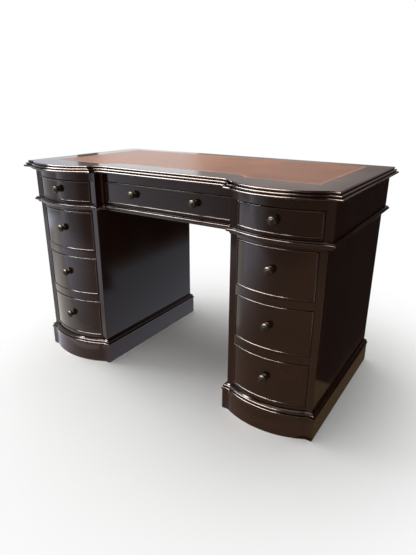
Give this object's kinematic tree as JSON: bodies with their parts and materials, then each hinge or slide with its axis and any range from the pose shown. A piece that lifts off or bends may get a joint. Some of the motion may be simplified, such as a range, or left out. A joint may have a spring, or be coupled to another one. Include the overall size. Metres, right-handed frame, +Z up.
{
  "type": "desk",
  "caption": "Twin-pedestal kneehole writing desk with a serpentine bowed front, cock-beaded drawers, reeded top edge, inset leather writing surface and moulded plinths.",
  "frame": {"origin": "middle of the footprint, on the floor", "axes": "+Z up, -Y the side with the drawers, +X to the right of someone facing the drawers"},
  "size_m": [1.22, 0.673, 0.771],
  "materials": {
    "mahogany": "dark red-brown stain under a glossy polish",
    "leather": "tan hide with a fine tooled line near its edge, slightly glossy",
    "drawer_wood": "plain brown timber, sealed and satin",
    "bronze": "dark antique bronze, softly polished on the crown"
  },
  "bodies": {
    "desk": {"top_board": "mahogany", "leather_inset": "leather", "frieze_top_rail": "mahogany", "frieze_floor": "mahogany", "frieze_back": "mahogany", "waist_board": "mahogany", "frieze_side_left": "mahogany", "frieze_stile_left": "mahogany", "frieze_divider_left": "mahogany", "frieze_side_right": "mahogany", "frieze_stile_right": "mahogany", "frieze_divider_right": "mahogany", "pedestal_left_outer_side": "mahogany", "pedestal_left_inner_side": "mahogany", "pedestal_left_back": "mahogany", "pedestal_left_cap": "mahogany", "pedestal_left_floor": "mahogany", "pedestal_left_rail_lower": "mahogany", "pedestal_left_rail_upper": "mahogany", "pedestal_left_plinth": "mahogany", "pedestal_right_outer_side": "mahogany", "pedestal_right_inner_side": "mahogany", "pedestal_right_back": "mahogany", "pedestal_right_cap": "mahogany", "pedestal_right_floor": "mahogany", "pedestal_right_rail_lower": "mahogany", "pedestal_right_rail_upper": "mahogany", "pedestal_right_plinth": "mahogany"},
    "drawer_left_bottom": {"drawer_left_bottom_front": "mahogany", "drawer_left_bottom_box": "drawer_wood", "drawer_left_bottom_knob": "bronze"},
    "drawer_left_middle": {"drawer_left_middle_front": "mahogany", "drawer_left_middle_box": "drawer_wood", "drawer_left_middle_knob": "bronze"},
    "drawer_left_top": {"drawer_left_top_front": "mahogany", "drawer_left_top_box": "drawer_wood", "drawer_left_top_knob": "bronze"},
    "drawer_right_bottom": {"drawer_right_bottom_front": "mahogany", "drawer_right_bottom_box": "drawer_wood", "drawer_right_bottom_knob": "bronze"},
    "drawer_right_middle": {"drawer_right_middle_front": "mahogany", "drawer_right_middle_box": "drawer_wood", "drawer_right_middle_knob": "bronze"},
    "drawer_right_top": {"drawer_right_top_front": "mahogany", "drawer_right_top_box": "drawer_wood", "drawer_right_top_knob": "bronze"},
    "drawer_frieze_left": {"drawer_frieze_left_front": "mahogany", "drawer_frieze_left_box": "drawer_wood", "drawer_frieze_left_knob": "bronze"},
    "drawer_frieze_right": {"drawer_frieze_right_front": "mahogany", "drawer_frieze_right_box": "drawer_wood", "drawer_frieze_right_knob": "bronze"},
    "drawer_frieze_centre": {"drawer_frieze_centre_front": "mahogany", "drawer_frieze_centre_box": "drawer_wood", "drawer_frieze_centre_knob_left": "bronze", "drawer_frieze_centre_knob_right": "bronze"}
  },
  "joints": [
    {"name": "drawer_left_bottom_slide", "type": "slide", "parent": "desk", "child": "drawer_left_bottom", "axis": [0, -1, 0], "range_m": [0, 0.38]},
    {"name": "drawer_left_middle_slide", "type": "slide", "parent": "desk", "child": "drawer_left_middle", "axis": [0, -1, 0], "range_m": [0, 0.38]},
    {"name": "drawer_left_top_slide", "type": "slide", "parent": "desk", "child": "drawer_left_top", "axis": [0, -1, 0], "range_m": [0, 0.38]},
    {"name": "drawer_right_bottom_slide", "type": "slide", "parent": "desk", "child": "drawer_right_bottom", "axis": [0, -1, 0], "range_m": [0, 0.38]},
    {"name": "drawer_right_middle_slide", "type": "slide", "parent": "desk", "child": "drawer_right_middle", "axis": [0, -1, 0], "range_m": [0, 0.38]},
    {"name": "drawer_right_top_slide", "type": "slide", "parent": "desk", "child": "drawer_right_top", "axis": [0, -1, 0], "range_m": [0, 0.38]},
    {"name": "drawer_frieze_left_slide", "type": "slide", "parent": "desk", "child": "drawer_frieze_left", "axis": [0, -1, 0], "range_m": [0, 0.38]},
    {"name": "drawer_frieze_right_slide", "type": "slide", "parent": "desk", "child": "drawer_frieze_right", "axis": [0, -1, 0], "range_m": [0, 0.38]},
    {"name": "drawer_frieze_centre_slide", "type": "slide", "parent": "desk", "child": "drawer_frieze_centre", "axis": [0, -1, 0], "range_m": [0, 0.35]}
  ]
}
